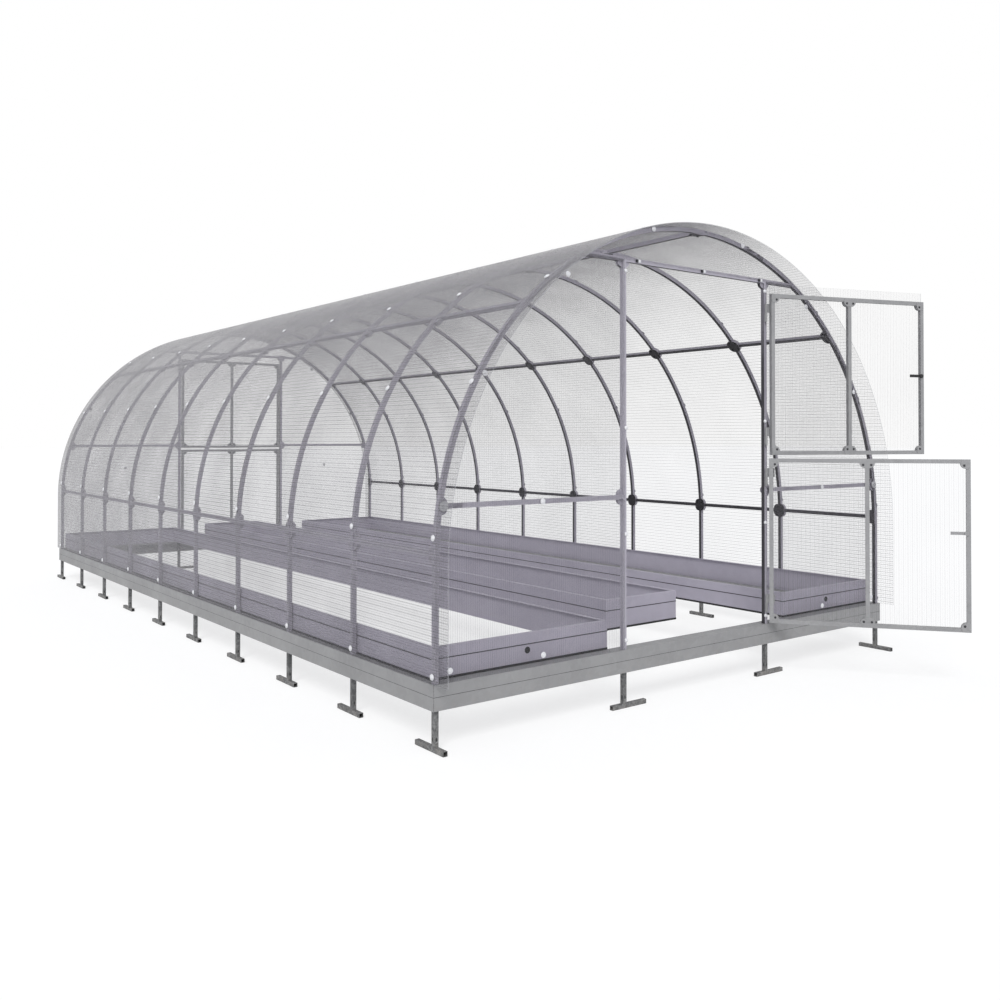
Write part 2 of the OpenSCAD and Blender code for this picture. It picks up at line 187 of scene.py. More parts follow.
# shared effects
def zincSkin():
    # crystals of the zinc coat, cloudy patches and fine drawn grain
    group, gin, gout = newGroup(
        "zincSkin",
        [
            ("Vector", "NodeSocketVector", (0, 0, 0)),
            ("Colour", "NodeSocketColor", (0.5, 0.5, 0.5, 1)),
            ("Shade", "NodeSocketColor", (0.3, 0.3, 0.3, 1)),
            ("Crystal Scale", "NodeSocketFloat", 60.0),
            ("Crystal Amount", "NodeSocketFloat", 0.3),
            ("Cloud Scale", "NodeSocketFloat", 6.0),
            ("Cloud Amount", "NodeSocketFloat", 0.4),
            ("Grain Amount", "NodeSocketFloat", 0.2),
            ("Roughness", "NodeSocketFloat", 0.45),
        ],
        [("Colour", "NodeSocketColor"), ("Roughness", "NodeSocketFloat"), ("Height", "NodeSocketFloat")],
    )
    link = group.links.new
    crystal = addNode(group, "ShaderNodeTexVoronoi", feature="F1")
    link(gin.outputs["Vector"], crystal.inputs["Vector"])
    link(gin.outputs["Crystal Scale"], crystal.inputs["Scale"])
    tone = group.nodes.new("ShaderNodeRGBToBW")
    link(crystal.outputs["Color"], tone.inputs[0])
    cloud = addNode(group, "ShaderNodeTexNoise", {"Detail": 4.0, "Roughness": 0.6})
    link(gin.outputs["Vector"], cloud.inputs["Vector"])
    link(gin.outputs["Cloud Scale"], cloud.inputs["Scale"])
    grain = addNode(group, "ShaderNodeTexNoise", {"Scale": 420.0, "Detail": 2.0})
    link(gin.outputs["Vector"], grain.inputs["Vector"])

    crystalShare = mathNode(group, "MULTIPLY")
    link(tone.outputs[0], crystalShare.inputs[0])
    link(gin.outputs["Crystal Amount"], crystalShare.inputs[1])
    cloudRange = rangeNode(group, 0.35, 0.68)
    link(cloud.outputs["Fac"], cloudRange.inputs["Value"])
    cloudShare = mathNode(group, "MULTIPLY")
    link(cloudRange.outputs[0], cloudShare.inputs[0])
    link(gin.outputs["Cloud Amount"], cloudShare.inputs[1])
    grainShare = mathNode(group, "MULTIPLY")
    link(grain.outputs["Fac"], grainShare.inputs[0])
    link(gin.outputs["Grain Amount"], grainShare.inputs[1])
    sumOne = mathNode(group, "ADD")
    link(crystalShare.outputs[0], sumOne.inputs[0])
    link(cloudShare.outputs[0], sumOne.inputs[1])
    total = mathNode(group, "ADD")
    total.use_clamp = True
    link(sumOne.outputs[0], total.inputs[0])
    link(grainShare.outputs[0], total.inputs[1])
    colour = mixColour(group)
    link(total.outputs[0], colour.inputs["Factor"])
    link(gin.outputs["Colour"], colour.inputs["A"])
    link(gin.outputs["Shade"], colour.inputs["B"])
    link(colour.outputs["Result"], gout.inputs["Colour"])
    rough = mathNode(group, "MULTIPLY_ADD", second=0.22)
    link(total.outputs[0], rough.inputs[0])
    link(gin.outputs["Roughness"], rough.inputs[2])
    link(rough.outputs[0], gout.inputs["Roughness"])
    height = mathNode(group, "ADD")
    link(grainShare.outputs[0], height.inputs[0])
    link(crystalShare.outputs[0], height.inputs[1])
    link(height.outputs[0], gout.inputs["Height"])
    return group


def groundDust():
    # splashed dust that thins out upwards
    group, gin, gout = newGroup(
        "groundDust",
        [
            ("Vector", "NodeSocketVector", (0, 0, 0)),
            ("Colour", "NodeSocketColor", (0.5, 0.5, 0.5, 1)),
            ("Dust", "NodeSocketColor", (0.4, 0.38, 0.35, 1)),
            ("Bottom", "NodeSocketFloat", 0.0),
            ("Top", "NodeSocketFloat", 0.3),
            ("Amount", "NodeSocketFloat", 0.4),
        ],
        [("Colour", "NodeSocketColor"), ("Mask", "NodeSocketFloat")],
    )
    link = group.links.new
    split = group.nodes.new("ShaderNodeSeparateXYZ")
    link(gin.outputs["Vector"], split.inputs[0])
    span = addNode(group, "ShaderNodeMapRange", {"To Min": 1.0, "To Max": 0.0})
    link(split.outputs["Z"], span.inputs["Value"])
    link(gin.outputs["Bottom"], span.inputs["From Min"])
    link(gin.outputs["Top"], span.inputs["From Max"])
    speck = addNode(group, "ShaderNodeTexNoise", {"Scale": 28.0, "Detail": 6.0, "Roughness": 0.7})
    link(gin.outputs["Vector"], speck.inputs["Vector"])
    speckRange = rangeNode(group, 0.42, 0.66)
    link(speck.outputs["Fac"], speckRange.inputs["Value"])
    both = mathNode(group, "MULTIPLY")
    link(span.outputs[0], both.inputs[0])
    link(speckRange.outputs[0], both.inputs[1])
    mask = mathNode(group, "MULTIPLY")
    mask.use_clamp = True
    link(both.outputs[0], mask.inputs[0])
    link(gin.outputs["Amount"], mask.inputs[1])
    colour = mixColour(group)
    link(mask.outputs[0], colour.inputs["Factor"])
    link(gin.outputs["Colour"], colour.inputs["A"])
    link(gin.outputs["Dust"], colour.inputs["B"])
    link(colour.outputs["Result"], gout.inputs["Colour"])
    link(mask.outputs[0], gout.inputs["Mask"])
    return group


def rubbedEdge():
    # worn, brighter metal along the edges of tubes and plates
    group, gin, gout = newGroup(
        "rubbedEdge",
        [
            ("Vector", "NodeSocketVector", (0, 0, 0)),
            ("Colour", "NodeSocketColor", (0.5, 0.5, 0.5, 1)),
            ("Bright", "NodeSocketColor", (0.7, 0.7, 0.72, 1)),
            ("Width", "NodeSocketFloat", 0.002),
            ("Amount", "NodeSocketFloat", 0.5),
        ],
        [("Colour", "NodeSocketColor")],
    )
    link = group.links.new
    soft = addNode(group, "ShaderNodeBevel", samples=4)
    link(gin.outputs["Width"], soft.inputs["Radius"])
    plain = group.nodes.new("ShaderNodeNewGeometry")
    dot = addNode(group, "ShaderNodeVectorMath", operation="DOT_PRODUCT")
    link(soft.outputs[0], dot.inputs[0])
    link(plain.outputs["True Normal"], dot.inputs[1])
    edge = rangeNode(group, 0.99, 0.8)
    link(dot.outputs["Value"], edge.inputs["Value"])
    patch = addNode(group, "ShaderNodeTexNoise", {"Scale": 35.0, "Detail": 4.0})
    link(gin.outputs["Vector"], patch.inputs["Vector"])
    patchRange = rangeNode(group, 0.38, 0.6)
    link(patch.outputs["Fac"], patchRange.inputs["Value"])
    both = mathNode(group, "MULTIPLY")
    link(edge.outputs[0], both.inputs[0])
    link(patchRange.outputs[0], both.inputs[1])
    mask = mathNode(group, "MULTIPLY")
    mask.use_clamp = True
    link(both.outputs[0], mask.inputs[0])
    link(gin.outputs["Amount"], mask.inputs[1])
    colour = mixColour(group)
    link(mask.outputs[0], colour.inputs["Factor"])
    link(gin.outputs["Colour"], colour.inputs["A"])
    link(gin.outputs["Bright"], colour.inputs["B"])
    link(colour.outputs["Result"], gout.inputs["Colour"])
    return group


zincGroup, dustGroup, edgeGroup = zincSkin(), groundDust(), rubbedEdge()


# materials
# innerShadeLevel: share of the colour kept on faces turned into the house, where shade is painted; 1.0 paints none
steelLooks = {
    "archSteel": {
        "colour": (0.41, 0.39, 0.445), "shade": (0.29, 0.275, 0.32),
        "metal": 0.2, "rough": 0.42, "crystal": (75, 0.3), "cloud": (5, 0.3), "grain": 0.2,
        "dustTop": 0.5, "dust": 0.2, "innerShadeLevel": 0.06,
    },
    "doorSteel": {
        "colour": (0.33, 0.33, 0.335), "shade": (0.235, 0.235, 0.24),
        "metal": 0.3, "rough": 0.4, "crystal": (90, 0.35), "cloud": (8, 0.4), "grain": 0.25,
        "dustTop": 0.5, "dust": 0.2, "innerShadeLevel": 1.0,
    },
    "plateSteel": {
        "colour": (0.44, 0.42, 0.475), "shade": (0.29, 0.275, 0.315),
        "metal": 0.4, "rough": 0.42, "crystal": (110, 0.4), "cloud": (20, 0.4), "grain": 0.3,
        "dustTop": 0.4, "dust": 0.1, "innerShadeLevel": 0.04,
    },
    "baseSteel": {
        "colour": (0.315, 0.315, 0.318), "shade": (0.215, 0.215, 0.219),
        "metal": 0.2, "rough": 0.45, "crystal": (45, 0.25), "cloud": (3.5, 0.35), "grain": 0.2,
        "dustTop": 0.27, "dust": 0.5, "innerShadeLevel": 1.0,
    },
    "footSteel": {
        "colour": (0.31, 0.31, 0.31), "shade": (0.095, 0.097, 0.10),
        "metal": 0.45, "rough": 0.4, "crystal": (120, 0.7), "cloud": (26, 0.5), "grain": 0.4,
        "dustTop": 0.1, "dust": 0.6, "innerShadeLevel": 1.0,
    },
    "bedSteel": {
        "colour": (0.43, 0.405, 0.475), "shade": (0.33, 0.312, 0.37),
        "metal": 0.15, "rough": 0.5, "crystal": (30, 0.2), "cloud": (3, 0.35), "grain": 0.2,
        "dustTop": 0.36, "dust": 0.3, "innerShadeLevel": 1.0,
    },
}
# dust and edge wear belong to the steel; inside is the painted shade on faces turned into the house
wearAndShadeLook = {"dust": (0.33, 0.31, 0.29), "inside": (0.014, 0.0135, 0.016), "edge": 0.6, "brighter": 1.5}
springHeight = 0.715  # where the straight legs end and the arches begin


def steelMaterial(name, look):
    material = bpy.data.materials.new(name)
    material.use_nodes = True
    tree = material.node_tree
    link = tree.links.new
    shader = tree.nodes["Principled BSDF"]
    shader.inputs["Metallic"].default_value = look["metal"]
    shader.inputs["IOR"].default_value = 1.5
    place = tree.nodes.new("ShaderNodeTexCoord")
    zinc = addNode(tree, "ShaderNodeGroup", {
        "Colour": (*look["colour"], 1), "Shade": (*look["shade"], 1), "Crystal Scale": look["crystal"][0],
        "Crystal Amount": look["crystal"][1], "Cloud Scale": look["cloud"][0],
        "Cloud Amount": look["cloud"][1], "Grain Amount": look["grain"], "Roughness": look["rough"],
    }, node_tree=zincGroup)
    edge = addNode(tree, "ShaderNodeGroup", {
        "Bright": (*[min(c * wearAndShadeLook["brighter"], 0.8) for c in look["colour"]], 1), "Amount": wearAndShadeLook["edge"],
    }, node_tree=edgeGroup)
    dust = addNode(tree, "ShaderNodeGroup", {
        "Dust": (*wearAndShadeLook["dust"], 1), "Top": look["dustTop"], "Amount": look["dust"],
    }, node_tree=dustGroup)
    for node in (zinc, edge, dust):
        link(place.outputs["Object"], node.inputs["Vector"])
    link(zinc.outputs["Colour"], edge.inputs["Colour"])
    link(edge.outputs["Colour"], dust.inputs["Colour"])
    if look["innerShadeLevel"] < 1.0:
        # painted shade: faces turned into the house are drawn dark, as if always in shade
        around = addNode(tree, "ShaderNodeVectorMath", {1: (1, 0, 1)}, operation="MULTIPLY")
        shift = addNode(tree, "ShaderNodeVectorMath", {1: (0, 0, springHeight)}, operation="SUBTRACT")
        normal = tree.nodes.new("ShaderNodeNewGeometry")
        outward = addNode(tree, "ShaderNodeVectorMath", operation="DOT_PRODUCT")
        link(place.outputs["Object"], shift.inputs[0])
        link(shift.outputs[0], around.inputs[0])
        unit = addNode(tree, "ShaderNodeVectorMath", operation="NORMALIZE")
        link(around.outputs[0], unit.inputs[0])
        link(unit.outputs[0], outward.inputs[0])
        link(normal.outputs["True Normal"], outward.inputs[1])
        inner = rangeNode(tree, -0.15, -0.5, 0.0, 1.0 - look["innerShadeLevel"])
        link(outward.outputs["Value"], inner.inputs["Value"])
        paintedShade = mixColour(tree)
        paintedShade.inputs["B"].default_value = (*wearAndShadeLook["inside"], 1)
        link(inner.outputs[0], paintedShade.inputs["Factor"])
        link(dust.outputs["Colour"], paintedShade.inputs["A"])
        link(paintedShade.outputs["Result"], shader.inputs["Base Color"])
    else:
        link(dust.outputs["Colour"], shader.inputs["Base Color"])
    rough = mathNode(tree, "MULTIPLY_ADD", second=0.3)
    link(dust.outputs["Mask"], rough.inputs[0])
    link(zinc.outputs["Roughness"], rough.inputs[2])
    link(rough.outputs[0], shader.inputs["Roughness"])
    bump = addNode(tree, "ShaderNodeBump", {"Strength": 0.12, "Distance": 0.001})
    link(zinc.outputs["Height"], bump.inputs["Height"])
    link(bump.outputs[0], shader.inputs["Normal"])
    return material


sheetLook = {
    "colour": (0.165, 0.16, 0.175),
    "cutColour": (0.42, 0.42, 0.44),
    "faceAlpha": 0.018,
    "edgeAlpha": 0.95,
    "power": 3.5,  # how late the sheet turns solid as it is seen from the side
    "webAlpha": 0.08,
    "cutAlpha": 0.45,
    "lineAlpha": {"arch": 0.10, "flat": 0.03},
    "bandAlpha": {"arch": 0.105, "flat": 0.03},  # every second line is stronger
    "lineWidth": 0.55,
    "bandWidth": 0.42,
    "rough": 0.22,
    "pitch": 0.0105,
}


def fluteLines():
    # one thin line over each web, where wall and web run together
    group, gin, gout = newGroup(
        "fluteLines",
        [("Along", "NodeSocketFloat", 0.0), ("Pitch", "NodeSocketFloat", 0.01), ("Width", "NodeSocketFloat", 0.3)],
        [("Line", "NodeSocketFloat"), ("Height", "NodeSocketFloat")],
    )
    link = group.links.new
    count = mathNode(group, "DIVIDE")
    link(gin.outputs["Along"], count.inputs[0])
    link(gin.outputs["Pitch"], count.inputs[1])
    wave = mathNode(group, "PINGPONG", second=0.5)  # 0 on a web, 0.5 half way to the next
    link(count.outputs[0], wave.inputs[0])
    double = mathNode(group, "MULTIPLY", second=2.0)
    link(wave.outputs[0], double.inputs[0])
    line = addNode(group, "ShaderNodeMapRange", {"To Min": 1.0, "To Max": 0.0}, interpolation_type="SMOOTHSTEP")
    link(double.outputs[0], line.inputs["Value"])
    link(gin.outputs["Width"], line.inputs["From Max"])
    link(line.outputs[0], gout.inputs["Line"])
    link(double.outputs[0], gout.inputs["Height"])
    return group


fluteGroup = fluteLines()


def aroundArch(tree, place, radius):
    # length along the arch from its spring line, carried straight on down the walls
    split = tree.nodes.new("ShaderNodeSeparateXYZ")
    tree.links.new(place, split.inputs[0])
    rise = mathNode(tree, "SUBTRACT", second=springHeight)
    tree.links.new(split.outputs["Z"], rise.inputs[0])
    side = mathNode(tree, "ABSOLUTE")
    tree.links.new(split.outputs["X"], side.inputs[0])
    turn = mathNode(tree, "ARCTAN2")
    tree.links.new(rise.outputs[0], turn.inputs[0])
    tree.links.new(side.outputs[0], turn.inputs[1])
    arc = mathNode(tree, "MULTIPLY", second=radius)
    tree.links.new(turn.outputs[0], arc.inputs[0])
    above = mathNode(tree, "MAXIMUM", second=0.0)
    tree.links.new(arc.outputs[0], above.inputs[0])
    below = mathNode(tree, "MINIMUM", second=0.0)
    tree.links.new(rise.outputs[0], below.inputs[0])
    both = mathNode(tree, "ADD")
    tree.links.new(above.outputs[0], both.inputs[0])
    tree.links.new(below.outputs[0], both.inputs[1])
    return both.outputs[0]


def acrossSheet(tree, place, turn=None):
    # distance across a flat sheet; turn is (hinge x, hinge y, angle) for a sheet on an open leaf
    if turn:
        hingeX, hingeY, angle = turn
        back = Matrix.Rotation(-math.radians(angle), 2)
        shift = Vector((hingeX, hingeY)) - back @ Vector((hingeX, hingeY))
        mapping = addNode(tree, "ShaderNodeMapping", {
            "Rotation": (0, 0, -math.radians(angle)), "Location": (shift.x, shift.y, 0),
        })
        tree.links.new(place, mapping.inputs["Vector"])
        place = mapping.outputs[0]
    split = tree.nodes.new("ShaderNodeSeparateXYZ")
    tree.links.new(place, split.inputs[0])
    return split.outputs["X"]


def sheetMaterial(name, look, part, run="arch", radius=1.49, turn=None):
    # part is wall, web or cut: the walls of the sheet, the webs between them, the sawn ends
    material = bpy.data.materials.new(name)
    material.use_nodes = True
    tree = material.node_tree
    link = tree.links.new
    shader = tree.nodes["Principled BSDF"]
    shader.inputs["IOR"].default_value = 1.58
    shader.inputs["Specular IOR Level"].default_value = 0.3
    place = tree.nodes.new("ShaderNodeTexCoord")
    haze = addNode(tree, "ShaderNodeTexNoise", {"Scale": 3.0, "Detail": 5.0})
    link(place.outputs["Object"], haze.inputs["Vector"])
    scuff = addNode(tree, "ShaderNodeTexNoise", {"Scale": 90.0, "Detail": 3.0})
    link(place.outputs["Object"], scuff.inputs["Vector"])
    colour = mixColour(tree)
    tint = look["cutColour"] if part == "cut" else look["colour"]
    colour.inputs["A"].default_value = (*tint, 1)
    colour.inputs["B"].default_value = (*[c * 0.88 for c in tint], 1)
    link(haze.outputs["Fac"], colour.inputs["Factor"])
    link(colour.outputs["Result"], shader.inputs["Base Color"])
    rough = rangeNode(tree, 0.3, 0.7, look["rough"], look["rough"] + 0.16)
    link(scuff.outputs["Fac"], rough.inputs["Value"])
    link(rough.outputs[0], shader.inputs["Roughness"])
    spread = rangeNode(tree, 0.3, 0.7, 0.85, 1.15)
    link(haze.outputs["Fac"], spread.inputs["Value"])
    alpha = mathNode(tree, "MULTIPLY")
    alpha.use_clamp = True
    link(spread.outputs[0], alpha.inputs[0])
    bump = addNode(tree, "ShaderNodeBump", {"Strength": 0.05, "Distance": 0.002})
    link(scuff.outputs["Fac"], bump.inputs["Height"])
    link(bump.outputs[0], shader.inputs["Normal"])
    if part == "wall":
        if run == "arch":
            along = aroundArch(tree, place.outputs["Object"], radius)
        else:
            along = acrossSheet(tree, place.outputs["Object"], turn)
        flute = addNode(tree, "ShaderNodeGroup", {
            "Pitch": look["pitch"], "Width": look["lineWidth"],
        }, node_tree=fluteGroup)
        link(along, flute.inputs["Along"])
        facing = addNode(tree, "ShaderNodeLayerWeight", {"Blend": 0.5})
        power = mathNode(tree, "POWER", second=look["power"])
        link(facing.outputs["Facing"], power.inputs[0])
        slope = rangeNode(tree, 0.0, 1.0, look["faceAlpha"], look["edgeAlpha"])
        link(power.outputs[0], slope.inputs["Value"])
        lined = mathNode(tree, "MULTIPLY_ADD", second=look["lineAlpha"][run])
        link(flute.outputs["Line"], lined.inputs[0])
        link(slope.outputs[0], lined.inputs[2])
        band = addNode(tree, "ShaderNodeGroup", {
            "Pitch": look["pitch"] * 2, "Width": look["bandWidth"],
        }, node_tree=fluteGroup)
        link(along, band.inputs["Along"])
        banded = mathNode(tree, "MULTIPLY_ADD", second=look["bandAlpha"][run])
        link(band.outputs["Line"], banded.inputs[0])
        link(lined.outputs[0], banded.inputs[2])
        link(banded.outputs[0], alpha.inputs[1])
        wave = addNode(tree, "ShaderNodeBump", {"Strength": 0.35, "Distance": 0.0008})
        link(flute.outputs["Height"], wave.inputs["Height"])
        link(wave.outputs[0], bump.inputs["Normal"])
    else:
        alpha.inputs[1].default_value = look["webAlpha"] if part == "web" else look["cutAlpha"]
    link(alpha.outputs[0], shader.inputs["Alpha"])
    return material


plasticLooks = {
    "washerPlastic": {"colour": (0.80, 0.80, 0.82), "rough": 0.38},
    "foldShade": {"colour": (0.06, 0.058, 0.065), "rough": 0.6},
    # black plastic of the latch, also used as painted shade for the bed foot band, leg slots and drain holes
    "blackPlasticAndShade": {"colour": (0.012, 0.012, 0.013), "rough": 0.5},
    "boltZinc": {"colour": (0.42, 0.42, 0.44), "rough": 0.34, "metal": 0.6},
    "darkBoltAndShade": {"colour": (0.045, 0.045, 0.05), "rough": 0.4, "metal": 0.5},
}


def plasticMaterial(name, look):
    material = bpy.data.materials.new(name)
    material.use_nodes = True
    tree = material.node_tree
    link = tree.links.new
    shader = tree.nodes["Principled BSDF"]
    shader.inputs["Metallic"].default_value = look.get("metal", 0.0)
    place = tree.nodes.new("ShaderNodeTexCoord")
    grime = addNode(tree, "ShaderNodeTexNoise", {"Scale": 140.0, "Detail": 4.0})
    link(place.outputs["Object"], grime.inputs["Vector"])
    colour = mixColour(tree)
    colour.inputs["A"].default_value = (*look["colour"], 1)
    colour.inputs["B"].default_value = (*[c * 0.72 for c in look["colour"]], 1)
    link(grime.outputs["Fac"], colour.inputs["Factor"])
    link(colour.outputs["Result"], shader.inputs["Base Color"])
    rough = rangeNode(tree, 0.3, 0.7, look["rough"], look["rough"] + 0.18)
    link(grime.outputs["Fac"], rough.inputs["Value"])
    link(rough.outputs[0], shader.inputs["Roughness"])
    bump = addNode(tree, "ShaderNodeBump", {"Strength": 0.1, "Distance": 0.0005})
    link(grime.outputs["Fac"], bump.inputs["Height"])
    link(bump.outputs[0], shader.inputs["Normal"])
    return material


steels = {name: steelMaterial(name, look) for name, look in steelLooks.items()}
plastics = {name: plasticMaterial(name, look) for name, look in plasticLooks.items()}
sheetWeb, sheetCut = sheetMaterial("sheetWeb", sheetLook, "web"), sheetMaterial("sheetCut", sheetLook, "cut")
print("materials made")

finishOf = {
    "archSteel": ["arch_%d" % i for i in range(1, 11)]
    + ["purlins_left", "purlins_right", "purlin_ridge", "front_posts", "front_rails", "rear_posts", "rear_rails"],
    "doorSteel": ["lower_leaf_frame", "upper_leaf_frame", "rear_leaf_frames", "hinge_plates", "lower_leaf_latch"],
    "plateSteel": ["connectors_left", "connectors_right", "connectors_ridge"],
    "baseSteel": ["base_left", "base_right", "base_front", "base_rear"],
    "footSteel": ["feet_left", "feet_right", "feet_ends"],
    "bedSteel": ["bed_left", "bed_right", "bed_middle"],
}
for finish, nodeNames in finishOf.items():
    for nodeName in nodeNames:
        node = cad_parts[nodeName]
        for slot in node.material_slots:
            slot.material = steels[finish]
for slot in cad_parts["upper_leaf_latch"].material_slots:
    slot.material = plastics["blackPlasticAndShade"]


# making pieces
def finishPiece(name, bm, materials, body, smoothAngle=None):
    mesh = bpy.data.meshes.new(name)
    bm.to_mesh(mesh)
    bm.free()
    if smoothAngle is not None:
        mesh.shade_smooth()
        mesh.set_sharp_from_angle(angle=math.radians(smoothAngle))
    for material in materials:
        mesh.materials.append(material)
    piece = bpy.data.objects.new(name, mesh)
    scene.collection.objects.link(piece)
    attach(piece, body)
    return piece


def addBlock(bm, low, high):
    low, high = Vector(low), Vector(high)
    size = high - low
    return bmesh.ops.create_cube(
        bm, size=1.0, matrix=Matrix.Translation((low + high) / 2) @ Matrix.Diagonal((*size, 1.0)))["verts"]


def alongNormal(place, normal):
    return Matrix.Translation(place) @ Vector(normal).to_track_quat("Z", "Y").to_matrix().to_4x4()


def markFaces(bm, first, index):
    bm.faces.ensure_lookup_table()
    for face in bm.faces[first:]:
        face.material_index = index


# twin-wall sheets
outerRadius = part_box("cover_front")[1].x
sheetShape = {
    "thick": 0.004,
    "steps": round(math.pi * outerRadius / sheetLook["pitch"]),
    "pitch": sheetLook["pitch"],
    "webInset": 0.0002,
    "springHeight": springHeight,
}
innerRadius = outerRadius - sheetShape["thick"]
wrapRadius = sheetLook["pitch"] * sheetShape["steps"] / math.pi  # so that whole webs fit round the arch
coverParts = [sheetMaterial("coverWall", sheetLook, "wall", radius=wrapRadius), sheetWeb, sheetCut]
endParts = [sheetMaterial("endWall", sheetLook, "wall", "flat"), sheetWeb, sheetCut]


def coverSheet(name, nodeName, shape):
    low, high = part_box(nodeName)
    spring, pitch, steps = shape["springHeight"], shape["pitch"], shape["steps"]
    rise = spring - low.z
    bm = bmesh.new()
    # the closed shell: its foot, carried up the straight wall, round the arch and down again
    foot = bmesh.ops.create_grid(
        bm, x_segments=1, y_segments=1, size=0.5,
        matrix=Matrix.Translation(((innerRadius + outerRadius) / 2, (low.y + high.y) / 2, low.z))
        @ Matrix.Diagonal((outerRadius - innerRadius, high.y - low.y, 1.0, 1.0)))["verts"]
    rim = list({edge for vert in foot for edge in vert.link_edges})
    up = bmesh.ops.extrude_edge_only(bm, edges=rim)["geom"]
    bmesh.ops.translate(bm, vec=(0, 0, rise), verts=[g for g in up if isinstance(g, bmesh.types.BMVert)])
    ring = [g for g in up if not isinstance(g, bmesh.types.BMFace)]
    ring = [g for g in ring if isinstance(g, bmesh.types.BMVert)
            or all(abs(v.co.z - spring) < 1e-5 for v in g.verts)]
    last = bmesh.ops.spin(bm, geom=ring, cent=(0, 0, spring), axis=(0, -1, 0), dvec=(0, 0, 0),
                          angle=math.pi, steps=steps, use_merge=False, use_duplicate=False)["geom_last"]
    edges = [g for g in last if isinstance(g, bmesh.types.BMEdge)]
    down = bmesh.ops.extrude_edge_only(bm, edges=edges)["geom"]
    downVerts = [g for g in down if isinstance(g, bmesh.types.BMVert)]
    bmesh.ops.translate(bm, vec=(0, 0, -rise), verts=downVerts)
    bmesh.ops.contextual_create(bm, geom=[e for e in bm.edges if e.is_boundary])
    bmesh.ops.remove_doubles(bm, verts=bm.verts, dist=1e-6)
    bmesh.ops.recalc_face_normals(bm, faces=bm.faces)
    for face in bm.faces:
        atFoot = abs(face.normal.z) > 0.9 and face.calc_center_median().z < low.z + 0.01
        face.material_index = 2 if atFoot or abs(face.normal.y) > 0.9 else 0
    # the webs between the two walls
    first = len(bm.faces)
    inset = shape["webInset"]
    across = outerRadius - innerRadius - 2 * inset
    for side in (-1, 1):
        for k in range(1, int(rise / pitch) + 1):
            height = spring - k * pitch
            bmesh.ops.create_grid(
                bm, x_segments=1, y_segments=1, size=0.5,
                matrix=Matrix.Translation((side * (innerRadius + outerRadius) / 2, (low.y + high.y) / 2, height))
                @ Matrix.Diagonal((across, high.y - low.y - 2 * inset, 1.0, 1.0)))
    web = bmesh.ops.create_grid(
        bm, x_segments=1, y_segments=1, size=0.5,
        matrix=Matrix.Translation(((innerRadius + outerRadius) / 2, (low.y + high.y) / 2, spring))
        @ Matrix.Diagonal((across, high.y - low.y - 2 * inset, 1.0, 1.0)))["verts"]
    webFaces = list({face for vert in web for face in vert.link_faces})
    webEdges = list({edge for vert in web for edge in vert.link_edges})
    bmesh.ops.spin(bm, geom=webFaces + webEdges + web, cent=(0, 0, spring), axis=(0, -1, 0), dvec=(0, 0, 0),
                   angle=math.pi, steps=steps, use_merge=False, use_duplicate=True)
    markFaces(bm, first, 1)
    piece = finishPiece(name, bm, coverParts, "house", 20)
    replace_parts(piece, nodeName)


def flatWebs(bm, lowX, highX, lowZ, topAt, lowY, highY, shape):
    # upright webs of a flat sheet, each as tall as the sheet is there
    pitch, inset = shape["pitch"], shape["webInset"]
    for k in range(math.ceil((lowX + 0.001) / pitch), math.floor((highX - 0.001) / pitch) + 1):
        x = k * pitch
        top = topAt(x) - inset
        if top - lowZ < 0.004:
            continue
        bmesh.ops.create_grid(
            bm, x_segments=1, y_segments=1, size=0.5,
            matrix=Matrix.Translation((x, (lowY + highY) / 2, (lowZ + inset + top) / 2))
            @ Matrix.Rotation(math.radians(90), 4, "Y")
            @ Matrix.Diagonal((top - lowZ - inset, highY - lowY - 2 * inset, 1.0, 1.0)))


def endPanel(name, nodeName, shape):
    low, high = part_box(nodeName)
    spring = shape["springHeight"]
    reach = innerRadius
    bm = bmesh.new()
    turn = Matrix.Translation((0, low.y, spring)) @ Matrix.Rotation(math.radians(90), 4, "X")
    bmesh.ops.create_circle(bm, cap_ends=True, cap_tris=False, segments=720, radius=reach, matrix=turn)
    bmesh.ops.bisect_plane(bm, geom=bm.verts[:] + bm.edges[:] + bm.faces[:], dist=1e-6,
                           plane_co=(0, 0, spring), plane_no=(0, 0, -1), clear_outer=True)
    if low.z < spring - 0.01:
        feet = [e for e in bm.edges if all(abs(v.co.z - spring) < 1e-5 for v in e.verts)]
        drop = bmesh.ops.extrude_edge_only(bm, edges=feet)["geom"]
        bmesh.ops.translate(bm, vec=(0, 0, low.z - spring),
                            verts=[g for g in drop if isinstance(g, bmesh.types.BMVert)])
    for place, normal in (((low.x, 0, 0), (-1, 0, 0)), ((high.x, 0, 0), (1, 0, 0)),
                          ((0, 0, low.z), (0, 0, -1)), ((0, 0, high.z), (0, 0, 1))):
        bmesh.ops.bisect_plane(bm, geom=bm.verts[:] + bm.edges[:] + bm.faces[:], dist=1e-6,
                               plane_co=place, plane_no=normal, clear_outer=True)
    back = bmesh.ops.extrude_face_region(bm, geom=bm.faces[:], use_keep_orig=True)["geom"]
    bmesh.ops.translate(bm, vec=(0, high.y - low.y, 0),
                        verts=[g for g in back if isinstance(g, bmesh.types.BMVert)])
    bmesh.ops.recalc_face_normals(bm, faces=bm.faces)
    for face in bm.faces:
        face.material_index = 0 if abs(face.normal.y) > 0.5 else 2
    first = len(bm.faces)

    def topAt(x):
        return min(high.z, spring + math.sqrt(max(reach * reach - x * x, 0.0)))

    flatWebs(bm, low.x, high.x, low.z, topAt, low.y, high.y, shape)
    markFaces(bm, first, 1)
    piece = finishPiece(name, bm, endParts, "house")
    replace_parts(piece, nodeName)


